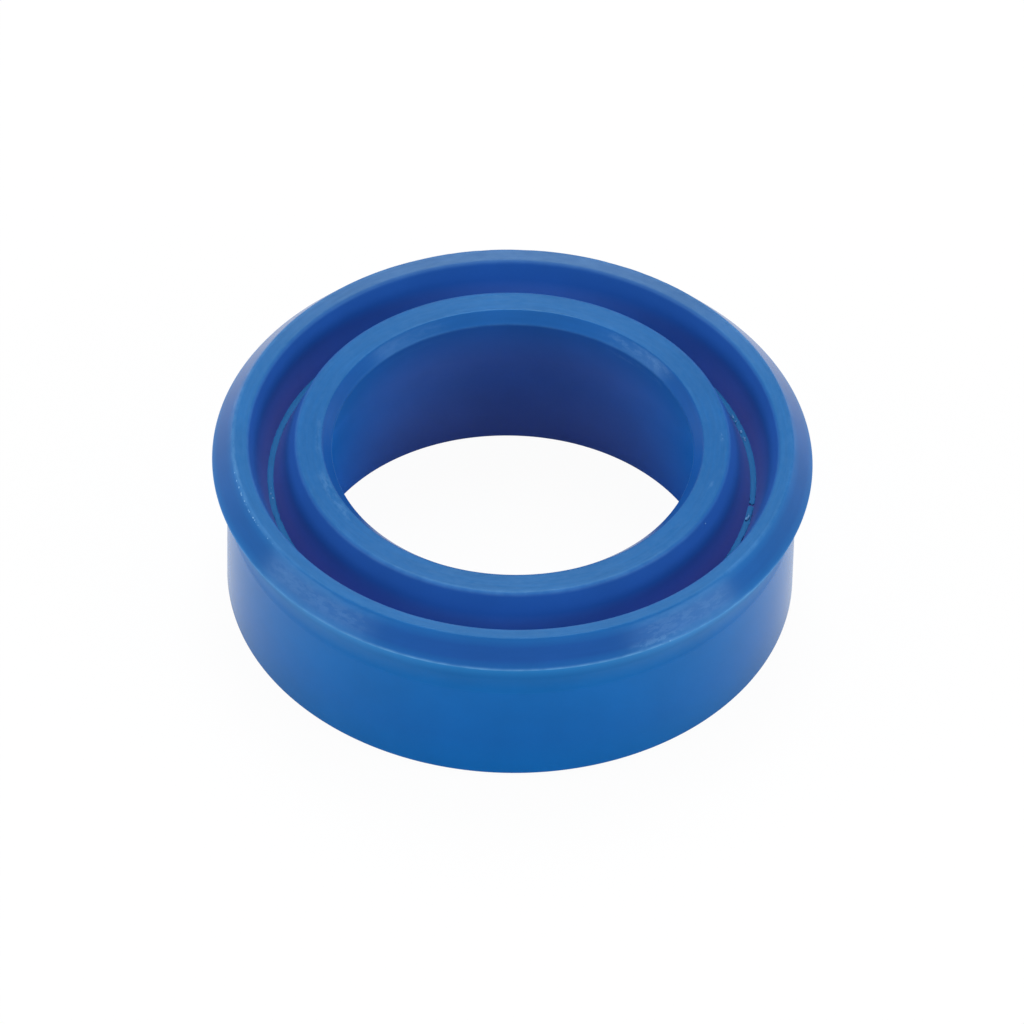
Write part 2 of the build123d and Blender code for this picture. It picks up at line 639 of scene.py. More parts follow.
        moved = add("ShaderNodeMath", {0: floor_out, 1: mouth_in}, operation="SUBTRACT")[0]
        radial = add("ShaderNodeMath", {0: moved, 1: nick_in}, operation="SUBTRACT")[0]
        push = add("ShaderNodeVectorMath", {0: at["outward"], "Scale": radial}, operation="SCALE")[0]
        down = add("ShaderNodeMath", {0: nick_in, 1: -self.nick_fall}, operation="MULTIPLY")[0]
        drop = add("ShaderNodeCombineXYZ", {"Z": down})[0]
        shift = add("ShaderNodeVectorMath", {0: push, 1: drop}, operation="ADD")[0]
        return add("GeometryNodeSetPosition", {"Geometry": ring, "Offset": shift})[0]

    def build(self, material: bpy.types.Material) -> bpy.types.Object:
        """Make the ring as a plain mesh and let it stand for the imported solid.

        Args:
            material: The polyurethane itself.

        Returns:
            The finished ring.
        """
        loop = self.section_loop()
        ring = make_by_nodes("seal_ring", self.carry, {
            "Section": loop,
            "Steps": self.steps,
            "Pitch radius": self.section.outer_edge * MM,
            "Groove offset": self.groove_offset * MM,
            "Groove side": math.radians(self.groove_side),
            "Floor ragged": self.floor_ragged * MM,
            "Nick depth": self.nick_depth * MM,
            "Seed": float(self.seed),
            "Material": material,
        })
        bpy.data.objects.remove(loop)
        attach(ring, BODY)
        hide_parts(NODE)
        return ring


@dataclass
class FloorFlash:
    """The thin line of flash on the groove's floor, where the two halves of the core met.

    Attributes:
        section: The section whose groove it lies in.
        rise: How far its middle lies over the groove's floor.
        width: Width of the line.
        thickness: Half its height, at its middle.
        sides: Sides of the line's own profile.
        steps: Places round the circle.
        girth: Its least and its most girth, as a share of its size.
        swells: How often its girth changes in a millimetre.
        ragged: How far its sides wander.
        tears: How often they do so in a millimetre.
        gap_at: Directions in which the line is torn away.
        gap_half: Half the width of such a gap, in degrees.
        gap_taper: Where the line starts and stops to grow again, in halves of the gap's width.
        gap_girth: Share of the girth that is left in a gap.
        slip: Direction, half the width in degrees and reach of the stretch that lies further in.
    """

    section: SealSection
    rise: float = 0.06
    width: float = 0.38
    thickness: float = 0.04
    sides: int = 8
    steps: int = 1500
    girth: tuple[float, float] = (0.85, 1.3)
    swells: float = 0.5
    ragged: float = 0.3
    tears: float = 3.2
    gap_at: tuple[float, ...] = (352.6, 122.0, 258.0)
    gap_half: float = 0.4
    gap_taper: tuple[float, float] = (0.4, 2.0)
    gap_girth: float = 0.02
    slip: tuple[float, float, float] = (345.5, 6.8, 0.045)
    seed: int = 3

    def girth_round(self, add: Adder, given: Outputs, place: Socket, angle: Socket) -> Socket:
        """Let the girth swell along the line, and take it away at the gaps.

        Args:
            add: Adds a node to the tree.
            given: The tree's inputs.
            place: The place on the line.
            angle: Its direction round the axis.

        Returns:
            The line's girth, as a share of its size.
        """
        swell = add("ShaderNodeTexNoise", {
            "Vector": place, "W": given["Seed"], "Scale": self.swells / MM, "Detail": 2.0},
            noise_dimensions="4D")[0]
        least, most = self.girth
        girth = add("ShaderNodeMapRange", {
            "Value": swell, **NOISE_SPAN, "To Min": least, "To Max": most})[0]
        start, stop = self.gap_taper
        for gap in self.gap_at:
            turned = add("ShaderNodeMath", {0: angle, 1: math.radians(gap)}, operation="SUBTRACT")[0]
            aside = add("ShaderNodeMath", {0: turned}, operation="SINE")[0]
            away = add("ShaderNodeMath", {0: aside}, operation="ABSOLUTE")[0]
            near = add("ShaderNodeMath", {0: turned}, operation="COSINE")[0]
            far_side = add("ShaderNodeMath", {0: near, 1: 0.0}, operation="LESS_THAN")[0]
            share = add("ShaderNodeMath", {0: away, 1: given["Gap half"]}, operation="DIVIDE")[0]
            open_to = add("ShaderNodeMapRange", {"Value": share, "From Min": start, "From Max": stop},
                          interpolation_type="SMOOTHSTEP")[0]
            whole = add("ShaderNodeMath", {0: open_to, 1: far_side}, operation="MAXIMUM")[0]
            kept = add("ShaderNodeMath", {0: whole, 1: self.gap_girth}, operation="MAXIMUM")[0]
            girth = add("ShaderNodeMath", {0: girth, 1: kept}, operation="MULTIPLY")[0]
        return girth

    def lay(self, add: Adder, given: Outputs) -> Socket:
        """Lay a lens-shaped thread round the floor and tear its sides.

        Args:
            add: Adds a node to the tree.
            given: The tree's inputs.

        Returns:
            The torn thread.
        """
        circle = level_circle(add, given["Steps"], given["Radius"])
        rise = add("ShaderNodeCombineXYZ", {"Z": given["Height"]})[0]
        raised = add("GeometryNodeSetPosition", {"Geometry": circle, "Offset": rise})[0]
        place = add("GeometryNodeInputPosition")[0]
        at = round_axis(add, place)
        girth = self.girth_round(add, given, place, at["angle"])
        disc = add("GeometryNodeCurvePrimitiveCircle", {"Resolution": self.sides, "Radius": 1.0})["Curve"]
        half = add("ShaderNodeMath", {0: given["Width"], 1: 0.5}, operation="MULTIPLY")[0]
        scale = add("ShaderNodeCombineXYZ", {"X": half, "Y": given["Thickness"], "Z": 1.0})[0]
        profile = add("GeometryNodeTransform", {"Geometry": disc, "Scale": scale})[0]
        thread = add("GeometryNodeCurveToMesh", {
            "Curve": raised, "Profile Curve": profile, "Scale": girth})["Mesh"]

        tear = add("ShaderNodeTexNoise", {
            "Vector": place, "W": given["Seed"], "Scale": self.tears / MM, "Detail": 3.0,
            "Roughness": 0.75}, noise_dimensions="4D")[0]
        centred = add("ShaderNodeMath", {0: tear, 1: NOISE_MIDDLE}, operation="SUBTRACT")[0]
        torn_by = add("ShaderNodeMath", {0: centred, 1: given["Ragged"]}, operation="MULTIPLY")[0]
        middle, half_width, slip = self.slip
        near = facing(add, at["angle"], math.radians(middle))
        slipped = add("ShaderNodeMath", {0: near, 1: math.cos(math.radians(half_width))},
                      operation="GREATER_THAN")[0]
        reach = add("ShaderNodeMath", {0: slipped, 1: -slip * MM, 2: torn_by}, operation="MULTIPLY_ADD")[0]
        push = add("ShaderNodeVectorMath", {0: at["outward"], "Scale": reach}, operation="SCALE")[0]
        return add("GeometryNodeSetPosition", {"Geometry": thread, "Offset": push})[0]

    def build(self, material: bpy.types.Material) -> bpy.types.Object:
        """Lay the flash round the groove.

        Args:
            material: The polyurethane itself.

        Returns:
            The finished thread of flash.
        """
        flash = make_by_nodes("groove_flash", self.lay, {
            "Steps": self.steps,
            "Radius": self.section.floor_middle * MM,
            "Height": (self.section.floor + self.rise) * MM,
            "Width": self.width * MM,
            "Thickness": self.thickness * MM,
            "Ragged": self.ragged * MM,
            "Gap half": math.sin(math.radians(self.gap_half)),
            "Seed": float(self.seed),
            "Material": material,
        })
        write_skins(flash.data, [Surface.FLASH.skin.values()] * len(flash.data.vertices))
        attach(flash, BODY)
        return flash


@dataclass(frozen=True)
class BurrPatch:
    """A short stretch of a line that carries burrs.

    Attributes:
        start: Direction in which it starts.
        end: Direction in which it ends.
        count: Number of burrs.
        size: Half the length of the longest one.
        scatter: How far they stray from the line.
        out: How far outside the line the patch lies.
        up: How far above the line it lies.
    """

    start: float
    end: float
    count: int
    size: float
    scatter: float = 0.02
    out: float = 0.0
    up: float = 0.0


@dataclass(frozen=True)
class BurrLine:
    """A line round the ring with patches of burrs.

    Attributes:
        radius: Distance from the axis.
        height: Height over the heel face.
        patches: Where its burrs are.
    """

    radius: float
    height: float
    patches: tuple[BurrPatch, ...]


@dataclass
class Burrs:
    """Small torn crumbs of the moulding, in patches on its edges and in its groove.

    Attributes:
        section: The section that they sit on.
        smallest: Size of the smallest burr, as a share of the longest in its patch.
        slim: Least and most width, as a share of the length.
        flatness: Height, as a share of the length.
        turn: Most that a burr turns or tilts out of the line, in radians.
        unevenness: How far the burrs' surface wanders.
        lumps: How often it does so in a millimetre.
        seed: Start of the random numbers.
    """

    section: SealSection
    smallest: float = 0.35
    slim: tuple[float, float] = (0.35, 0.75)
    flatness: float = 0.45
    turn: float = 0.5
    unevenness: float = 0.03
    lumps: float = 26.0
    seed: int = 11

    def lines(self) -> tuple[BurrLine, ...]:
        """Give the lines with burrs: on the trimmed land, in the groove and on the outer sealing edge."""
        section = self.section
        return (
            BurrLine(section.land_out, section.height - 0.05, (
                BurrPatch(187.3, 189, 9, 0.06, 0.05),
                BurrPatch(190.6, 191.6, 7, 0.06, 0.05),
                BurrPatch(193.3, 195.4, 16, 0.08, 0.06),
                BurrPatch(196.2, 198, 12, 0.07, 0.06),
                BurrPatch(199.4, 203.2, 26, 0.07, 0.06),
                BurrPatch(203.8, 206.4, 18, 0.07, 0.06),
                BurrPatch(206.4, 216, 24, 0.05, 0.04),
                BurrPatch(166, 187, 30, 0.04, 0.04),
            )),
            BurrLine(section.floor_middle, section.floor + 0.15, (
                BurrPatch(13, 16, 7, 0.08, 0.05, out=-0.05),
                BurrPatch(17.5, 19, 4, 0.09, 0.05, out=-0.05),
                BurrPatch(21, 24, 6, 0.1, 0.06, out=-0.05, up=0.01),
                BurrPatch(347, 349, 4, 0.12, 0.05, out=-0.03, up=0.03),
                BurrPatch(185, 190, 4, 0.08, 0.04, up=-0.01),
                BurrPatch(202, 206.5, 8, 0.07, 0.05, out=0.05),
            )),
            BurrLine(section.mouth_in + 0.16, section.height - 0.28, (
                BurrPatch(330.9, 331.3, 2, 0.05, 0.01),
            )),
            BurrLine(section.outer_edge - 0.04, section.outer_up + 0.02, (
                BurrPatch(301.8, 302.2, 2, 0.07, 0.01),
                BurrPatch(293, 305, 12, 0.035),
            )),
        )

    def seeds(self) -> bpy.types.Object:
        """Place one point for each burr, with its size and its turn round the axis.

        Returns:
            The points as an object.
        """
        dice = random.Random(self.seed)
        places, sizes, turns = [], [], []
        for line, patch in ((line, patch) for line in self.lines() for patch in line.patches):
            for _ in range(patch.count):
                angle = math.radians(dice.uniform(patch.start, patch.end))
                radius = line.radius + patch.out + dice.uniform(-1, 1) * patch.scatter
                height = line.height + patch.up - dice.uniform(0, 1) * patch.scatter
                places.append((radius * math.cos(angle) * MM, radius * math.sin(angle) * MM, height * MM))
                sizes.append(patch.size * dice.uniform(self.smallest, 1.0) * MM)
                turns.append(angle + math.pi / 2 + dice.uniform(-self.turn, self.turn))
        mesh = bpy.data.meshes.new("burr_seeds")
        mesh.from_pydata(places, [], [])
        mesh.attributes.new("size", "FLOAT", "POINT").data.foreach_set("value", sizes)
        mesh.attributes.new("turn", "FLOAT", "POINT").data.foreach_set("value", turns)
        return put_in_scene("burr_seeds", mesh)

    def scatter(self, add: Adder, given: Outputs) -> Socket:
        """Put an uneven crumb on each point.

        Args:
            add: Adds a node to the tree.
            given: The tree's inputs.

        Returns:
            The crumbs.
        """
        points = add("GeometryNodeObjectInfo", {"Object": given["Seeds"]})["Geometry"]
        ball = add("GeometryNodeMeshIcoSphere", {"Radius": 1.0, "Subdivisions": 3})["Mesh"]
        size, turn = (add("GeometryNodeInputNamedAttribute", {"Name": name}, data_type="FLOAT")["Attribute"]
                      for name in ("size", "turn"))
        slim, tilt = (
            add("FunctionNodeRandomValue", {2: least, 3: most, "Seed": given["Seed"]}, data_type="FLOAT")[1]
            for least, most in (self.slim, (-self.turn, self.turn)))
        across = add("ShaderNodeMath", {0: size, 1: slim}, operation="MULTIPLY")[0]
        tall = add("ShaderNodeMath", {0: size, 1: given["Flatness"]}, operation="MULTIPLY")[0]
        scale = add("ShaderNodeCombineXYZ", {"X": size, "Y": across, "Z": tall})[0]
        angles = add("ShaderNodeCombineXYZ", {"X": tilt, "Z": turn})[0]
        spread = add("GeometryNodeInstanceOnPoints", {
            "Points": points, "Instance": ball, "Rotation": angles, "Scale": scale})[0]
        real = add("GeometryNodeRealizeInstances", {"Geometry": spread})[0]
        place = add("GeometryNodeInputPosition")[0]
        lumps = add("ShaderNodeTexNoise", {
            "Vector": place, "Scale": self.lumps / MM, "Detail": 1.0})["Color"]
        centred = add("ShaderNodeVectorMath", {0: lumps, 1: (NOISE_MIDDLE,) * 3}, operation="SUBTRACT")[0]
        push = add("ShaderNodeVectorMath", {0: centred, "Scale": given["Unevenness"]}, operation="SCALE")[0]
        return add("GeometryNodeSetPosition", {"Geometry": real, "Offset": push})[0]

    def build(self, material: bpy.types.Material) -> bpy.types.Object:
        """Make the burrs as one piece.

        Args:
            material: The polyurethane itself.

        Returns:
            The burrs.
        """
        seeds = self.seeds()
        burrs = make_by_nodes("burrs", self.scatter, {
            "Seeds": seeds,
            "Flatness": self.flatness,
            "Unevenness": self.unevenness * MM,
            "Seed": self.seed,
            "Material": material,
        })
        bpy.data.objects.remove(seeds)
        write_skins(burrs.data, [Surface.BURR.skin.values()] * len(burrs.data.vertices))
        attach(burrs, BODY)
        return burrs


@dataclass(frozen=True)
class ScuffAndHighlight:
    """A pale patch, where fine pale streaks run round the ring. Some are marks from handling, and those
    that lie on the lamps' highlights are painted highlight.

    Attributes:
        azimuth: Direction of its middle.
        half: Half its width, in degrees.
        radius: Distance of its middle from the axis, in millimetres.
        reach: How far it spreads to both sides of that.
        strength: Share of the pale colour at the patch's strongest.
        fade: Share of its width over which it fades out.
    """

    azimuth: float
    half: float
    radius: float
    reach: float
    strength: float
    fade: float = 1.0


@dataclass(frozen=True)
class PolyurethaneFinish:
    """Moulded polyurethane: a deep blue, satin skin that turns pale where it is seen edge on, and whose
    colours hold painted light, shade and highlights.

    Patterns are given by how often they repeat in a millimetre. Sides are parts of the way outward: 1 is
    straight to the right or the back, and -1 straight to the left or the front.

    Attributes:
        rubbed_and_highlit: Colour of the pale streaks in the patches, marks from handling and painted
            highlight.
        edge: Colour of the pale edges: painted highlight, with some whitening of worn edges.
        gloss_tint: Tint of the reflection seen straight on.
        ior: Index of refraction.
        bloom: Strength of the faint bluish bloom that the skin has where it is seen edge on.
        bloom_tint: Colour of the bloom.
        bloom_spread: Roughness of the bloom.
        clouds: Soft clouds in the colour.
        cloudiness: How far they lighten and darken it.
        grains: Fine grain in the colour and the gloss.
        graininess: How far the grain lightens and darkens the colour.
        grain_rough: How far it roughens and smooths the skin.
        edge_chips: Stretches where the pale edges are worn more and less.
        edge_chip_span: Where in the noise an edge is worn least and most.
        least_edge: Share of the pale colour where an edge is worn least.
        rings: Turning rings across and along the lands.
        ring_depth: How far the rings lighten and darken them.
        streaks: Streaks across and along the ring.
        streak_span: Where in the noise a soft streak starts and where it is strongest.
        streak_line: Where in the noise a fine line lies, half its width and its strength.
        streak_gloss: How far the streaks change the gloss of drawn faces.
        scuff_rough: How far the patches roughen the skin.
        lowest_patch: Height under which no patch reaches, in millimetres.
        patch_rise: Height over which the patches then come in.
        aside: Sides between which a face takes its colour aside, its painted light and shade at the ring's
            left and right.
        behind: Sides between which it takes its colour behind, its painted light and shade at the back.
        front: Sides between which the painted edge highlight comes to be as strong as it is at the front.
        right: Sides between which the painted edge highlight weakens on the right.
        right_edge: Share of their strength that is left there.
        scuffs_and_highlights: The pale patches.
    """

    rubbed_and_highlit: str = "#7dadd8"
    edge: str = "#659dd2"
    gloss_tint: str = "#a0dcff"
    ior: float = 1.28
    bloom: float = 0.12
    bloom_tint: str = "#8cc4ff"
    bloom_spread: float = 0.3
    clouds: float = 0.3
    cloudiness: float = 0.05
    grains: float = 7.0
    graininess: float = 0.015
    grain_rough: float = 0.03
    edge_chips: float = 1.4
    edge_chip_span: tuple[float, float] = (0.35, 0.62)
    least_edge: float = 0.55
    rings: tuple[float, float] = (7.0, 0.3)
    ring_depth: float = 0.45
    streaks: tuple[float, float] = (5.0, 1.8)
    streak_span: tuple[float, float] = (0.35, 0.8)
    streak_line: tuple[float, float, float] = (0.53, 0.03, 0.8)
    streak_gloss: float = 1.2
    scuff_rough: float = 0.15
    lowest_patch: float = 8.6
    patch_rise: float = 0.2
    aside: tuple[float, float] = (0.1, 1.0)
    behind: tuple[float, float] = (0.3, 1.0)
    front: tuple[float, float] = (-0.45, -0.95)
    right: tuple[float, float] = (0.8, 0.97)
    right_edge: float = 0.4
    scuffs_and_highlights: tuple[ScuffAndHighlight, ...] = (
        # The patches at 228.5 and 307.5 on the outer chamfer and at 47 and 125 on the inner chamfer lie on
        # the lamps' highlights and are painted highlight; the others are marks from handling.
        ScuffAndHighlight(228.5, 15, 14.97, 0.6, 0.12, 0.35),
        ScuffAndHighlight(307.5, 12, 14.97, 0.6, 0.14, 0.35),
        ScuffAndHighlight(206, 14, 10.15, 0.35, 0.2, 0.5),
        ScuffAndHighlight(180, 10, 10.05, 0.2, 0.12, 0.5),
        ScuffAndHighlight(171, 3, 14.6, 0.1, 0.2),
        ScuffAndHighlight(3.5, 2.2, 10.78, 0.14, 0.35),
        ScuffAndHighlight(343.5, 2.5, 10.65, 0.16, 0.2),
        ScuffAndHighlight(300, 7, 15.3, 0.2, 0.3),
        ScuffAndHighlight(47, 16, 9.6, 0.3, 0.2, 0.5),
        ScuffAndHighlight(125, 16, 9.6, 0.3, 0.06, 0.5),
        ScuffAndHighlight(190, 12, 14.4, 0.15, 0.2, 0.5),
    )

    def streaks_round(self, add: Adder, at: dict[str, Socket]) -> Socket:
        """Add streaks that run round the ring.

        Args:
            add: Adds a node to the shader.
            at: The place in millimetres, as round_axis gives it.

        Returns:
            The streaks, from 0 to 1.
        """
        across, along = self.streaks
        radius, height, right, back = paced(
            add, at, {"radius": across, "Z": across, "X": along, "Y": along})
        where = add("ShaderNodeCombineXYZ", {"X": radius, "Y": height, "Z": right})[0]
        return add("ShaderNodeTexNoise", {
            "Vector": where, "W": back, "Scale": 1.0, "Detail": 4.0, "Roughness": 0.65},
            noise_dimensions="4D")[0]

    def turning_rings(self, add: Adder, at: dict[str, Socket], drawn: Socket) -> Socket:
        """Add the faint rings that the mould's turning left on the lands.

        Args:
            add: Adds a node to the shader.
            at: The place in millimetres, as round_axis gives it.
            drawn: How far tool marks draw the face's reflection out.

        Returns:
            What the colour is multiplied by.
        """
        across, along = self.rings
        radius, right, back = paced(add, at, {"radius": across, "X": along, "Y": along})
        where = add("ShaderNodeCombineXYZ", {"X": radius, "Y": right, "Z": back})[0]
        rings = add("ShaderNodeTexNoise", {"Vector": where, "Scale": 1.0, "Detail": 3.0})[0]
        off = add("ShaderNodeMath", {0: rings, 1: NOISE_MIDDLE}, operation="SUBTRACT")[0]
        deep = add("ShaderNodeMath", {0: off, 1: drawn}, operation="MULTIPLY")[0]
        return add("ShaderNodeMath", {0: deep, 1: self.ring_depth, 2: 1.0}, operation="MULTIPLY_ADD")[0]

    def scuffed_and_highlit(self, add: Adder, at: dict[str, Socket]) -> Socket:
        """Add the pale patches, each fading out round the ring and across it.

        Args:
            add: Adds a node to the shader.
            at: The place in millimetres, as round_axis gives it.

        Returns:
            How strongly a place lies in a patch, from 0 to 1.
        """
        total = 0.0
        for pale_patch in self.scuffs_and_highlights:
            near = facing(add, at["angle"], math.radians(pale_patch.azimuth))
            side = add("ShaderNodeMapRange", {
                "Value": near, "From Min": math.cos(math.radians(pale_patch.half)),
                "From Max": math.cos(math.radians(pale_patch.half * (1 - pale_patch.fade))),
                "To Max": pale_patch.strength}, interpolation_type="SMOOTHSTEP")[0]
            off = add("ShaderNodeMath", {0: at["radius"], 1: pale_patch.radius}, operation="SUBTRACT")[0]
            away = add("ShaderNodeMath", {0: off}, operation="ABSOLUTE")[0]
            band = add("ShaderNodeMapRange", {"Value": away, "From Min": pale_patch.reach, "From Max": 0.0},
                       interpolation_type="SMOOTHSTEP")[0]
            patch = add("ShaderNodeMath", {0: side, 1: band}, operation="MULTIPLY")[0]
            total = add("ShaderNodeMath", {0: total, 1: patch}, operation="MAXIMUM")[0]
        high = add("ShaderNodeMapRange", {
            "Value": at["Z"], "From Min": self.lowest_patch,
            "From Max": self.lowest_patch + self.patch_rise})[0]
        return add("ShaderNodeMath", {0: high, 1: total}, operation="MULTIPLY")[0]

    def pale_streaking(self, add: Adder, at: dict[str, Socket], streaks: Socket) -> Socket:
        """Streak the patches: soft streaks, with fine lines where two streaks meet.

        Args:
            add: Adds a node to the shader.
            at: The place in millimetres, as round_axis gives it.
            streaks: The streaks round the ring.

        Returns:
            How strongly the pale streaks show, from 0 to 1.
        """
        start, strongest = self.streak_span
        soft = add("ShaderNodeMapRange", {"Value": streaks, "From Min": start, "From Max": strongest},
                   interpolation_type="SMOOTHSTEP")[0]
        middle, half, strength = self.streak_line
        off = add("ShaderNodeMath", {0: streaks, 1: middle}, operation="SUBTRACT")[0]
        away = add("ShaderNodeMath", {0: off}, operation="ABSOLUTE")[0]
        lines = add("ShaderNodeMapRange", {
            "Value": away, "From Min": half, "From Max": 0.0, "To Max": strength},
            interpolation_type="SMOOTHSTEP")[0]
        shown = add("ShaderNodeMath", {0: soft, 1: lines}, operation="MAXIMUM")[0]
        return add("ShaderNodeMath", {0: shown, 1: self.scuffed_and_highlit(add, at)}, operation="MULTIPLY")[0]

    def painted_light_shade_by_side(self, add: Adder, at: dict[str, Socket], skin: dict[str, Socket]) -> tuple[Socket, Socket]:
        """Mix each face's colour with its painted light and shade, and its two strengths of painted edge
        highlight, by their side of the ring.

        Args:
            add: Adds a node to the shader.
            at: The place in millimetres, as round_axis gives it.
            skin: The skin's attributes.

        Returns:
            The face's colour, with its painted light and shade, and the strength of its painted edge
            highlight.
        """
        parts = add("ShaderNodeSeparateXYZ", {0: at["outward"]})
        aside = add("ShaderNodeMath", {0: parts["X"]}, operation="ABSOLUTE")[0]
        spans = {
            "painted_light_shade_aside": (aside, *self.aside, 0.0, 1.0),
            "painted_light_shade_behind": (parts["Y"], *self.behind, 0.0, 1.0),
            "edge_highlight_front": (parts["Y"], *self.front, 0.0, 1.0),
            "edge_highlight_aside": (parts["X"], *self.right, 1.0, self.right_edge),
        }
        masks = {name: add("ShaderNodeMapRange", dict(zip(RANGE, span)), interpolation_type="SMOOTHSTEP")[0]
                 for name, span in spans.items()}
        # Turn the colour to its painted light and shade at the sides and at the back.
        tone = skin["tone"]
        for name in ("painted_light_shade_aside", "painted_light_shade_behind"):
            tone = add("ShaderNodeMix", {"Factor": masks[name], 6: tone, 7: skin[name]},
                       data_type="RGBA")[2]
        sides = add("ShaderNodeMath", {0: skin["edge_highlight_aside"], 1: masks["edge_highlight_aside"]},
                    operation="MULTIPLY")[0]
        pale = add("ShaderNodeMix", {"Factor": masks["edge_highlight_front"], 2: sides, 3: skin["edge_highlight_front"]},
                   data_type="FLOAT")[0]
        return tone, pale

    def material(self) -> bpy.types.Material:
        """Build the shader, which reads each face's skin from the mesh.

        Returns:
            The material for every piece of the seal.
        """
        made = bpy.data.materials.new("polyurethane_moulded_blue")
        add = empty_tree(made)
        metres = add("ShaderNodeTexCoord")["Object"]
        place = add("ShaderNodeVectorMath", {0: metres, "Scale": 1 / MM}, operation="SCALE")[0]
        at = round_axis(add, place)
        skin = {name: add("ShaderNodeAttribute", attribute_name=name)["Color"] for name in TONES}
        skin |= {name: add("ShaderNodeAttribute", attribute_name=name)["Fac"] for name in LEVELS + EDGE_HIGHLIGHTS}

        cloud = add("ShaderNodeTexNoise", {"Vector": place, "Scale": self.clouds, "Detail": 4.0})[0]
        grain = add("ShaderNodeTexNoise", {"Vector": place, "Scale": self.grains, "Detail": 3.0})[0]
        shade = self.turning_rings(add, at, skin["drawn"])
        for noise, depth in ((cloud, self.cloudiness), (grain, self.graininess)):
            light = add("ShaderNodeMapRange", {
                "Value": noise, **NOISE_SPAN, "To Min": 1 - depth, "To Max": 1 + depth})[0]
            shade = add("ShaderNodeMath", {0: light, 1: shade}, operation="MULTIPLY")[0]
        # The colour with its painted light and shade by side, and the strength of the painted edge
        # highlight.
        tone, pale = self.painted_light_shade_by_side(add, at, skin)
        base = add("ShaderNodeVectorMath", {0: tone, "Scale": shade}, operation="SCALE")[0]
        # The pale edge colour is painted highlight along the edges, with some whitening of worn edges, and
        # a noise varies it along them.
        chips = add("ShaderNodeTexNoise", {"Vector": place, "Scale": self.edge_chips, "Detail": 3.0})[0]
        least, most = self.edge_chip_span
        worn = add("ShaderNodeMapRange", {
            "Value": chips, "From Min": least, "From Max": most, "To Min": self.least_edge})[0]
        trimmed = add("ShaderNodeMath", {0: pale, 1: worn}, operation="MULTIPLY")[0]
        edge_highlighted = add("ShaderNodeMix", {"Factor": trimmed, 6: base, 7: linear(self.edge)},
                    data_type="RGBA")[2]
        # The pale streaks are marks from handling, and painted highlight in the patches on the lamps'
        # highlights.
        streaks = self.streaks_round(add, at)
        rubbed_and_highlit = self.pale_streaking(add, at, streaks)
        colour = add("ShaderNodeMix", {"Factor": rubbed_and_highlit, 6: edge_highlighted, 7: linear(self.rubbed_and_highlit)},
                     data_type="RGBA")[2]

        spread = add("ShaderNodeMapRange", {
            "Value": grain, "To Min": -self.grain_rough, "To Max": self.grain_rough})[0]
        rough = add("ShaderNodeMath", {0: skin["rough"], 1: spread}, operation="ADD")[0]
        dulled = add("ShaderNodeMath", {0: rubbed_and_highlit, 1: self.scuff_rough, 2: rough},
                     operation="MULTIPLY_ADD")[0]
        # The shader's usual specular level is a half, and the streaks swing it on drawn faces.
        uneven = add("ShaderNodeMath", {0: streaks, 1: NOISE_MIDDLE}, operation="SUBTRACT")[0]
        marked = add("ShaderNodeMath", {0: uneven, 1: skin["drawn"]}, operation="MULTIPLY")[0]
        patchy = add("ShaderNodeMath", {0: marked, 1: self.streak_gloss, 2: 0.5},
                     operation="MULTIPLY_ADD")[0]
        level = add("ShaderNodeMath", {0: skin["gloss"], 1: patchy}, operation="MULTIPLY")[0]
        # A quarter turn from the tangent round the axis draws the reflection out across the tool marks.
        around = add("ShaderNodeTangent", direction_type="RADIAL", axis="Z")[0]
        shader = add("ShaderNodeBsdfPrincipled", {
            "Base Color": colour,
            "Roughness": dulled,
            "IOR": self.ior,
            "Specular IOR Level": level,
            "Specular Tint": linear(self.gloss_tint),
            "Sheen Weight": self.bloom,
            "Sheen Roughness": self.bloom_spread,
            "Sheen Tint": linear(self.bloom_tint),
            "Anisotropic": skin["drawn"],
            "Anisotropic Rotation": 0.25,
            "Tangent": around,
        })[0]
        add("ShaderNodeOutputMaterial", {"Surface": shader})
        return made


@dataclass(frozen=True)
class SoftLight:
    """A soft light that faces the seal.

    Attributes:
        name: The light's name.
        azimuth: Direction round the seal.
        elevation: Height over the horizon, in degrees.
        distance: Metres from the seal.
        size: The light's width and height, in metres.
        power: Watts.
    """

    name: str
    azimuth: float
    elevation: float
    distance: float
    size: tuple[float, float]
    power: float

    def hang(self) -> None:
        """Hang the light in its place."""
        data = bpy.data.lights.new(self.name, "AREA")
        data.shape = "RECTANGLE"
        data.size, data.size_y = self.size
        data.energy = self.power
        a, e = math.radians(self.azimuth), math.radians(self.elevation)
        spot = Vector((math.cos(a) * math.cos(e), math.sin(a) * math.cos(e), math.sin(e))) * self.distance
        lamp = put_in_scene(self.name, data)
        lamp.location = spot
        lamp.rotation_mode = "QUATERNION"
        lamp.rotation_quaternion = spot.to_track_quat("Z", "Y")


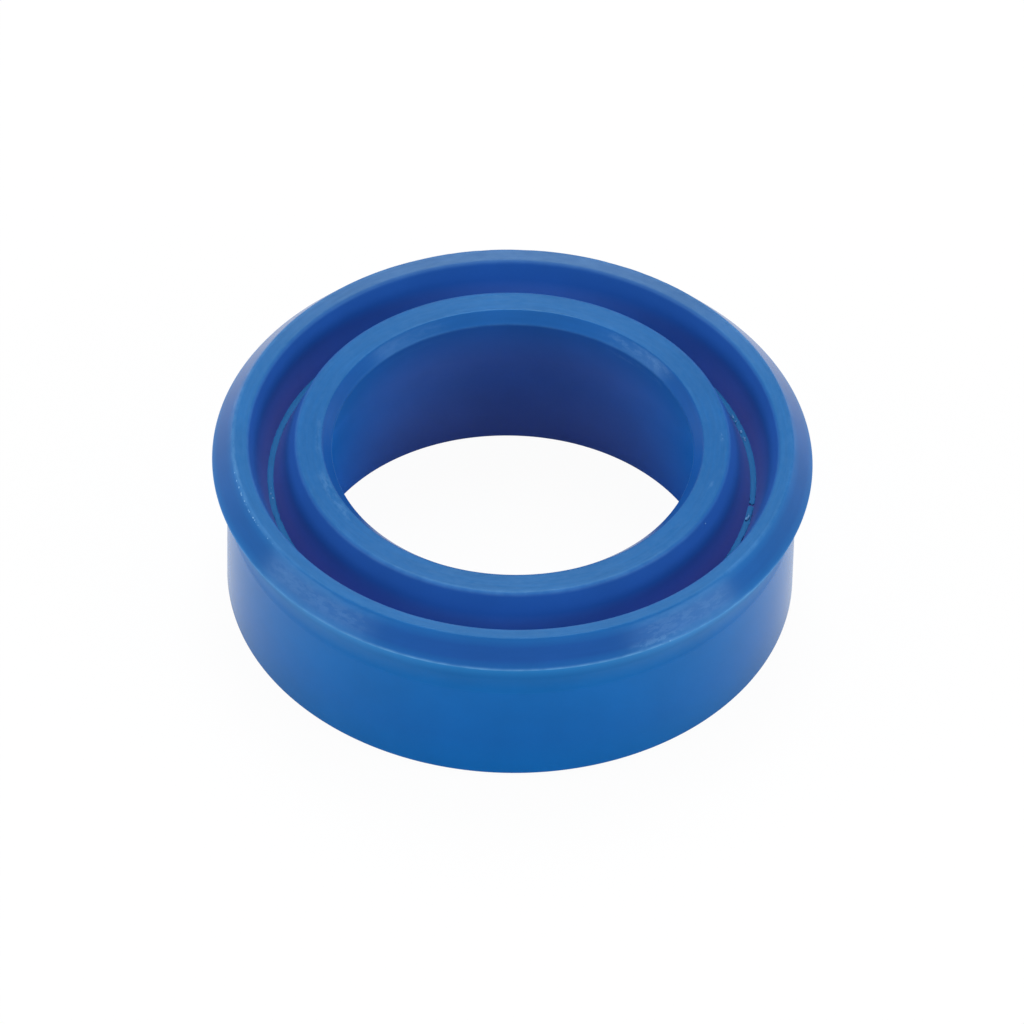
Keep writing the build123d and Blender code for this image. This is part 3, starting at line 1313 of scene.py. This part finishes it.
@dataclass
class Studio:
    """The pale floor, the soft lights and the camera.

    Attributes:
        elevation: Camera's height over the horizon, in degrees.
        roll: Lean of the camera about its own axis, in degrees.
        distance: From the heel's centre to the camera, in metres.
        lens: Focal length, in millimetres.
        sensor: Width of the camera's sensor, in millimetres.
        clip: Nearest and farthest that the camera sees, in metres.
        aim_right: How far the view's middle lies to the right of the heel's centre, in millimetres.
        aim_up: How far it lies above, square to the view, in millimetres.
        floor_size: Side of the floor, in metres.
        paper: Colour of the floor.
        floor_glow: How far the floor shows as plain white to those who look at it.
        room_light: Strength of the room's even light, where 1 is the white that shows.
        lights: The soft lights.
    """

    elevation: float = 44.22
    roll: float = 1.28
    distance: float = 0.63
    lens: float = 425.4
    sensor: float = 36.0
    clip: tuple[float, float] = (0.05, 20.0)
    aim_right: float = 0.119
    aim_up: float = 3.496
    floor_size: float = 3.0
    paper: str = "#f2f2f4"
    floor_glow: float = 0.96
    room_light: float = 0.52
    lights: tuple[SoftLight, ...] = (
        SoftLight("back_light", 90, 67, 0.8, (0.3, 0.49), 3.1),
        SoftLight("left_light", 198.5, 23, 0.7, (0.52, 0.22), 1.9),
        SoftLight("right_light", -26, 23, 0.7, (0.46, 0.22), 2.1),
    )

    def place_camera(self) -> None:
        """Place the camera and make it the scene's own."""
        data = bpy.data.cameras.new("camera")
        data.lens = self.lens
        data.sensor_width = self.sensor
        data.clip_start, data.clip_end = self.clip
        turn = Matrix.Rotation(math.radians(90 - self.elevation), 4, "X")
        turn = turn @ Matrix.Rotation(math.radians(self.roll), 4, "Z")
        offset = Vector((self.aim_right * MM, self.aim_up * MM, self.distance))
        camera = put_in_scene("camera", data)
        camera.matrix_world = Matrix.Translation(turn @ offset) @ turn
        bpy.context.scene.camera = camera

    def lay_floor(self) -> None:
        """Lay the pale floor that the seal stands on."""
        half = self.floor_size / 2
        mesh = bpy.data.meshes.new("floor")
        mesh.from_pydata([(-half, -half, 0), (half, -half, 0), (half, half, 0), (-half, half, 0)], [],
                         [(0, 1, 2, 3)])
        floor = put_in_scene("floor", mesh)
        made = bpy.data.materials.new("studio_paper")
        add = empty_tree(made)
        paper = add("ShaderNodeBsdfDiffuse", {"Color": linear(self.paper)})[0]
        glow = add("ShaderNodeEmission", {"Color": (1, 1, 1, 1), "Strength": 1.0})[0]
        share = add("ShaderNodeMath", {0: looked_at(add), 1: self.floor_glow}, operation="MULTIPLY")[0]
        mixed = add("ShaderNodeMixShader", {0: share, 1: paper, 2: glow})[0]
        add("ShaderNodeOutputMaterial", {"Surface": mixed})
        floor.data.materials.append(made)

    def light_up(self) -> None:
        """Hang the soft lights and set the even light of the room."""
        for light in self.lights:
            light.hang()
        world = bpy.data.worlds.new("room")
        add = empty_tree(world)
        level = add("ShaderNodeMapRange", {"Value": looked_at(add), "To Min": self.room_light})[0]
        room = add("ShaderNodeBackground", {"Color": (1, 1, 1, 1), "Strength": level})[0]
        add("ShaderNodeOutputWorld", {"Surface": room})
        bpy.context.scene.world = world


def main() -> None:
    """Build the seal and the studio, and report each piece."""
    logging.basicConfig(level=logging.INFO, format="%(name)s: %(message)s")
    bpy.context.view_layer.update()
    low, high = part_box(NODE)
    section = SealSection(outer_edge=high.x / MM, height=(high.z - low.z) / MM)
    material = PolyurethaneFinish().material()
    for maker in (SealRing(section), FloorFlash(section), Burrs(section)):
        piece = maker.build(material)
        log.info("%s: %d faces", piece.name, len(piece.data.polygons))

    studio = Studio()
    studio.lay_floor()
    studio.light_up()
    studio.place_camera()
    bpy.context.scene.view_settings.view_transform = "Standard"


if __name__ == "__main__":
    main()
